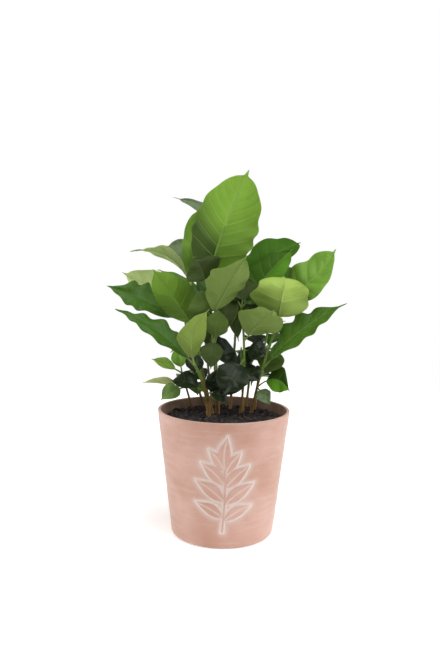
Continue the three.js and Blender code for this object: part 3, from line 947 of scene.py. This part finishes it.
leafShape = {
    "petiole": 9,
    "petioleShare": 0.25,
    "curlFrom": 0.72,  # share of the length where a tip starts to roll back
    "curlPull": 0.6,
    "bodyEnd": 0.94,  # the rounded body of the outline
    "bodySkew": 0.92,
    "tipFrom": 0.7,  # the narrow drip tip
    "tipLength": 0.13,
    "tipHalf": 0.11,
    "tipCurve": 0.8,
    "leastHalf": 0.35,
    "rounding": 0.3,  # how far a half bends over towards its margin
    "thickness": 0.5,
    "edgeThinner": 0.35,
    "columns": (0, 0.05, 0.11, 0.19, 0.29, 0.4, 0.52, 0.64, 0.76, 0.87, 0.95, 1),
    "between": 6,  # rows between two veins
    "tipRows": 9,
    "veinSpacing": 13,  # along the midrib
    "veinCount": (3, 11),
    "veinStops": (0.07, 0.79),  # share of the blade where the veins start, and that they take up
    "veinCrowd": 0.95,
    "veinHalf": 0.6,
    "veinTaper": 0.75,
    "veinRidge": 0.22,
    "ridgeTaper": 0.7,
    "ridgeOver": 0.5,  # sunk into the upper side, of the ridge below
    "veinLean": 0.208,  # how far a vein runs forward on its way to the margin
    "veinBend": 1.15,
    "veinEnd": 0.9,
    "pucker": 0.04,  # quilting between veins, of the half-width
    "endPucker": 0.4,
    "wave": 0.06,  # up and down along the margin, of the half-width
    "waveLength": 24,
    "waveGrowth": 2.2,
    "waveEnds": 0.6,
    "waveDrift": [(fullTurn, 1.3), (11, 0.7)],  # pitch and strength of two uneven drifts
    "scallop": 0.05,  # in and out along the margin
    "scallopLag": 0.9,
    "swell": 0.07,  # broad uneven swells, of the half-width
    "swells": [(1.4, 1.6), (0.8, -2.3)],  # how often along the blade, and how far they slant across it
    "swellFlat": 2.5,
    "ribRadius": (1.25, 0.95, 0.28),  # of stalk and midrib: at the stem, at the blade and at the tip
    "ribTaper": 1.2,
    "ribSmall": (0.55, 180),  # a short leaf has a thinner rib
    "ribSunk": 0.75,
    "ribSinks": 1.6,
    "ribEnd": 0.985,
    "ribRows": (6, 34),
    "ribSides": 8,
    "dimUntil": 0.2,  # where the painted shade starts to lift, of the share where a half has its full tone
    "net": 2.2,  # mesh of the smallest veins, drawn coarse enough to show
    "shootNet": 1.5,
    "grain": 6,
}

# tones of the upper and the lower side: colour, how pale the veins are, roughness and strength of the
# gloss. A blade is darker towards its stalk in these steps of painted shade, apart from the even tones
paintedShadeSteps = (0.2, 0.28, 0.36, 0.44, 0.52, 0.6, 0.68, 0.76, 0.84, 0.92, 1.0)
paintedVeinShadeSteps = (0.36, 0.62, 0.9)
leafTones = {
    "upper": {
        "deep": ("#41691c", 0.05, 0.36, 0.22),
        "mid": ("#4f7a20", 0.08, 0.4, 0.22),
        "forest": ("#3b6413", 0.05, 0.65, 0.08),
        "glade": ("#4f7f1c", 0.05, 0.65, 0.1),
        "moss": ("#556d2c", 0.05, 0.55, 0.16),
        "bright": ("#74a236", 0.13, 0.42, 0.2),
        "young": ("#98bf54", 0.07, 0.38, 0.22),
        "straw": ("#bfc688", 0.06, 0.5, 0.2),
        "pale": ("#77984f", 0.06, 0.4, 0.22),
        # grey-green upper tone: painted sheen, the leaf greyed as if by a glossy reflection, over its real
        # gloss
        "grey": ("#627650", 0.05, 0.26, 0.22),
        # the two darkest upper tones: painted shade, dark and near-black for leaves deep inside the plant
        # where shade falls
        "dusk": ("#3c4c20", 0.03, 0.5, 0.16),
        "shade": ("#1d2915", 0.03, 0.31, 0.24),
    },
    "lower": {
        "sunny": ("#83b03a", 0.09, 0.6, 0.22),
        "fresh": ("#6c942a", 0.06, 0.6, 0.22),
        "spring": ("#7d9540", 0.06, 0.6, 0.22),
        "lime": ("#9ab652", 0.1, 0.62, 0.22),
        "mint": ("#b2c67e", 0.05, 0.62, 0.22),
        "sage": ("#738a42", 0.07, 0.6, 0.22),
        "olive": ("#647b36", 0.07, 0.6, 0.22),
    },
}
evenTones = ("young", "straw", "pale", "grey", "dusk", "shade")
veinColour = "#cfdc9c"


def outline(r, full):
    # half-width along the blade: a rounded body that ends in a narrow drip tip
    g = leafShape
    body = np.sin(np.pi * np.clip(r / g["bodyEnd"], 0, 1) ** g["bodySkew"]) ** full
    tip = g["tipHalf"] * np.clip((1 - r) / g["tipLength"], 0, 1) ** g["tipCurve"]
    return np.where(r > g["tipFrom"], np.maximum(body, tip), body)


def leafRows(length):
    # rows follow the side veins: a row is at + spread times the vein's half-width, counted along the
    # midrib. hump is 0 on a vein and 1 half way to the next; on marks the rows that make a vein
    g = leafShape
    veins = int(np.clip(length / g["veinSpacing"], *g["veinCount"]))
    start, take = g["veinStops"]
    stops = np.concatenate([[0], start + take * np.linspace(0, 1, veins) ** g["veinCrowd"], [1]])
    at, spread, hump, on = [0.0], [0.0], [0.0], [0]
    for k in range(veins + 1):
        rows = g["tipRows"] if k == veins else g["between"]
        f = np.arange(1, rows + 1) / (rows + 1)
        first, final = (0 if k == 0 else 1), (0 if k == veins else -1)
        at += (stops[k] * (1 - f) + stops[k + 1] * f).tolist()
        spread += (first * (1 - f) + final * f).tolist()
        hump += (np.sin(np.pi * f) * (1 if 0 < k < veins else g["endPucker"])).tolist()
        on += [0] * rows
        if k < veins:
            at += [stops[k + 1]] * 3
            spread += [-1, 0, 1]
            hump += [0.0] * 3
            on += [1, 2, 1]
    rows = at + [1.0], spread + [0.0], hump + [0.0], on + [0]
    return tuple(np.array(row) for row in rows)


def leafLine(form, node):
    # the midrib from stem to tip: straight reach plus a bow towards the upper side and one to the side;
    # the last part may roll back. midrib gives points and the upper side's normals at the shares s
    g = leafShape
    reach = np.array(form["reach"])
    length = np.linalg.norm(reach)
    along = reach / length
    up = np.array(form["face"])
    up = unit(up - along * (up @ along))
    side = np.cross(along, up)

    def midrib(s):
        bow = 4 * s * (1 - s) * length
        roll = form["curl"] * np.clip((s - g["curlFrom"]) / (1 - g["curlFrom"]), 0, 1) ** 2
        point = node + reach * s[..., None] + up * (form["arch"] * bow + roll)[..., None]
        point = point + side * (form["sway"] * bow)[..., None] - along * (g["curlPull"] * roll)[..., None]
        tangent = unit(along + up * (form["arch"] * 4 * (1 - 2 * s))[..., None])
        return point, np.cross(side, tangent)

    return length, side, midrib


def bladeRings(form, line, stalk, v, rows):
    # half-width times v from the midrib, both halves lifted by the fold and rounded over, with quilting
    # between the veins, broad swells, and waves that grow towards the margin; each ring goes across the
    # upper side and back along the lower
    g = leafShape
    length, side, midrib = line
    at, spread, hump, on = rows
    half, fold = form["width"] / 2, math.radians(form["fold"])
    row, across = np.meshgrid(at, v, indexing="ij")
    out = np.abs(across)
    veinHalf = g["veinHalf"] / length * (1 - g["veinTaper"] * out)
    lean = g["veinLean"] * out ** g["veinBend"] * 4 * row * (1 - row)
    r = np.clip(row + spread[:, None] * veinHalf + lean, 0, 1)
    waves = max(round(length / g["waveLength"]), 2)
    leftPhase, rightPhase = rng.uniform(0, fullTurn, 2)
    phase = fullTurn * waves * r + np.where(across < 0, leftPhase, rightPhase)
    for (pitch, strength), start in zip(g["waveDrift"], (rightPhase, leftPhase)):
        phase = phase + strength * np.sin(pitch * r + start)
    ends = np.sin(np.pi * r) ** g["waveEnds"]
    scallop = g["scallop"] * form["wave"] * np.sin(phase + g["scallopLag"]) * out ** 3 * ends
    width = np.maximum(half * outline(r, form["full"]), g["leastHalf"]) * (1 + scallop)
    lift = width * math.sin(fold) * ((1 + g["rounding"]) * out - g["rounding"] * out ** 2)
    lift += g["wave"] * form["wave"] * half * np.sin(phase) * out ** g["waveGrowth"] * ends
    lift += g["pucker"] * form["quilt"] * half * hump[:, None] * np.sqrt(out) * (1 - out ** 4) * ends
    swell = sum(np.sin(fullTurn * often * r + start + slant * across)
                for (often, slant), start in zip(g["swells"], (leftPhase, -rightPhase)))
    lift += g["swell"] * half * swell * np.minimum(1, g["swellFlat"] * out) * ends
    point, normal = midrib(stalk + (1 - stalk) * r)
    blade = point + side * (width * across * math.cos(fold))[..., None] + normal * lift[..., None]
    facing = unit(np.cross(np.gradient(blade, axis=1), np.gradient(blade, axis=0)))
    facing *= np.sign((facing * normal).sum(-1, keepdims=True))
    thick = g["thickness"] / 2 * (1 - g["edgeThinner"] * out)
    ridge = g["veinRidge"] * (on == 2)[:, None] * (1 - g["ridgeTaper"] * out)
    upper = blade + facing * (thick - g["ridgeOver"] * ridge)[..., None]
    lower = blade - facing * (thick + ridge)[..., None]
    return np.concatenate([upper, lower[:, ::-1]], 1)


def ribRings(line, stalk):
    # stalk and midrib: one tapering round rib, let into the blade's lower side
    g = leafShape
    length, side, midrib = line
    stalkRows, bladeRows = g["ribRows"]
    s = np.concatenate([np.linspace(0, stalk, stalkRows), np.linspace(stalk, g["ribEnd"], bladeRows)[1:]])
    first, base, end = g["ribRadius"]
    small, long = g["ribSmall"]
    onBlade = np.clip((1 - s) / (1 - stalk), 0, 1) ** g["ribTaper"]
    radius = np.where(s < stalk, first + (base - first) * s / stalk, end + (base - end) * onBlade)
    radius = radius * min(1, small + length / long)
    point, normal = midrib(s)
    sunk = radius * smoothStep(0, stalk * g["ribSinks"], s) * g["ribSunk"]
    turn = around(g["ribSides"])
    ring = side * np.cos(turn)[None, :, None] + normal[:, None] * np.sin(turn)[None, :, None]
    return s, (point - normal * sunk[:, None])[:, None] + ring * radius[:, None, None]


def nearest(values, steps):
    return np.abs(values[..., None] - np.array(steps)).argmin(-1)


def leafShells(form, node, slotOf):
    # a leaf's blade and its rib, with a tone for every face
    g = leafShape
    line = leafLine(form, node)
    length = line[0]
    stalk = min(g["petiole"] / length, g["petioleShare"])
    rows = leafRows(length)
    at, on = rows[0], rows[3]
    columns = np.array(g["columns"])
    v = np.concatenate([-columns[:0:-1], columns])
    rings = bladeRings(form, line, stalk, v, rows)

    # painted shade: each half is darker at the stalk and brightens in steps to its full tone further up the
    # blade
    firstHalf = v[:-1] + v[1:] < 0
    dim, lit = np.where(firstHalf, *form["dim"]), np.where(firstHalf, *form["lit"])
    tone = dim + (1 - dim) * smoothStep(g["dimUntil"] * lit, lit, at[:-1, None])
    shade, veinShade = nearest(tone, paintedShadeSteps), nearest(tone, paintedVeinShadeSteps)
    reachOut = np.abs(v)
    onMidrib = (reachOut[:-1] <= columns[1]) & (reachOut[1:] <= columns[1])
    onVein = ((on[:-1] > 0) & (on[1:] > 0))[:, None] & (reachOut[:-1] < g["veinEnd"])
    faces = []
    for colour in form["tones"]:
        blades = np.array([slotOf[colour, k] for k in range(len(paintedShadeSteps))])
        veins = np.array([slotOf[colour, "vein", k] for k in range(len(paintedVeinShadeSteps))])
        faces.append(np.where(onVein | onMidrib, veins[veinShade], blades[shade]))
    top, under = faces
    bladeSlot = np.concatenate([top, under[:, -1:], under[:, ::-1], under[:, :1]], 1)

    # the rib takes the lower side's vein tone and painted shade step beside it, and the stalk that of the
    # tip
    s, rib = ribRings(line, stalk)
    beside = np.searchsorted(at[:-1], np.clip((s[:-1] - stalk) / (1 - stalk), 0, 1)) - 1
    ribSlot = veins[veinShade[beside, 0]]
    return [shell(rings, bladeSlot, under[-1, 0]), shell(rib, ribSlot[:, None], veins[-1])]


def leafSkin(name, colour, shade, vein, roughness, gloss, net):
    # waxy leaf skin: one plain green darkened by its step of painted shade, gloss broken by the fine mesh
    # of small veins
    skin, tree, shader, place = startMaterial(name)
    mesh = addNode(tree, "TexVoronoi", {
        "Vector": place, "Scale": 1 / (net * mm)}, feature="DISTANCE_TO_EDGE")
    grain = addNode(tree, "TexNoise", {
        "Vector": place, "Scale": 1 / (leafShape["grain"] * mm), "Detail": 3.0})
    rough = addNode(tree, "MapRange", {
        "Value": grain.outputs["Fac"], "From Min": 0.3, "From Max": 0.7,
        "To Min": roughness - 0.06, "To Max": roughness + 0.08})
    relief = addNode(tree, "Math", {0: mesh.outputs["Distance"], 1: 0.5}, operation="MINIMUM")
    bump = addNode(tree, "Bump", {
        "Height": relief.outputs[0], "Strength": 0.25, "Distance": 0.25 * mm})
    plain, pale = np.array(linear(colour)), np.array(linear(veinColour))
    plain[:3] *= shade
    setInputs(shader, {
        "Base Color": (plain + (pale - plain) * vein).tolist(), "Roughness": rough.outputs[0],
        "Normal": bump.outputs[0], "Specular IOR Level": gloss})
    return skin


def makeSkins():
    # every tone in its steps of painted shade, blade and veins; an even tone has only the last step of each
    skins, slotOf = [], {}
    for side, tones in leafTones.items():
        for tone, (colour, vein, roughness, gloss) in tones.items():
            for part, steps, paleness in (((tone,), paintedShadeSteps, 0), ((tone, "vein"), paintedVeinShadeSteps, vein)):
                for k, shade in enumerate(steps):
                    slotOf[(*part, k)] = len(skins)
                    if tone not in evenTones or k == len(steps) - 1:
                        name = " ".join(("coffee leaf", side, *part, str(k + 1)))
                        skins.append(leafSkin(
                            name, colour, shade, paleness, roughness, gloss, leafShape["net"]))
    shoots = (("shoot", "green coffee shoot", 0.5), ("woody", "ripening coffee shoot", 0.6))
    for key, name, roughness in shoots:
        slotOf[key] = len(skins)
        skins.append(leafSkin(name, stem[key], 1, 0, roughness, stem["shootGloss"], leafShape["shootNet"]))
    return skins, slotOf


def shootShell(seedling, slotOf):
    # the stem goes on as a smoother green shoot, a little fatter than the bark it stands on, and ends in
    # a blunt bud
    start = shootStart(seedling) - stem["sunk"] / tallness(seedling)
    body = stemRings(seedling, start, 1, stem["shootRough"])
    body += (body - body.mean(1, keepdims=True)) * stem["shootFatter"]
    tip = stemPoint(seedling, 1)
    rise = unit(tip - stemPoint(seedling, stem["budFrom"])) * stem["bud"]
    bud = np.stack([tip + rise * high + (body[-1] - tip) * wide for high, wide in stem["budProfile"]])
    rings = np.concatenate([body, bud])
    kind = np.where(rings[:-1, :1, 2] < stem["woodyTo"], slotOf["woody"], slotOf["shoot"])
    return shell(rings, kind, slotOf["shoot"])


def makeFoliage():
    skins, slotOf = makeSkins()
    for name, seedling in seedlings.items():
        shells = [shootShell(seedling, slotOf)]
        for share, leaves in seedling["pairs"]:
            for form in leaves:
                shells += leafShells(form, stemPoint(seedling, share), slotOf)
        used = np.unique(np.concatenate([np.concatenate(s[3:]) for s in shells]))
        shells = [(*s[:3], np.searchsorted(used, s[3]), np.searchsorted(used, s[4])) for s in shells]
        makePiece(f"leaves_{name}", shells, [skins[k] for k in used], [f"foliage_{name}"])


makeFoliage()
print("leaves made")

counts = [len(o.data.loops) - 2 * len(o.data.polygons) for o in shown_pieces() if o.type == "MESH"]
print("triangles", sum(counts), max(counts))
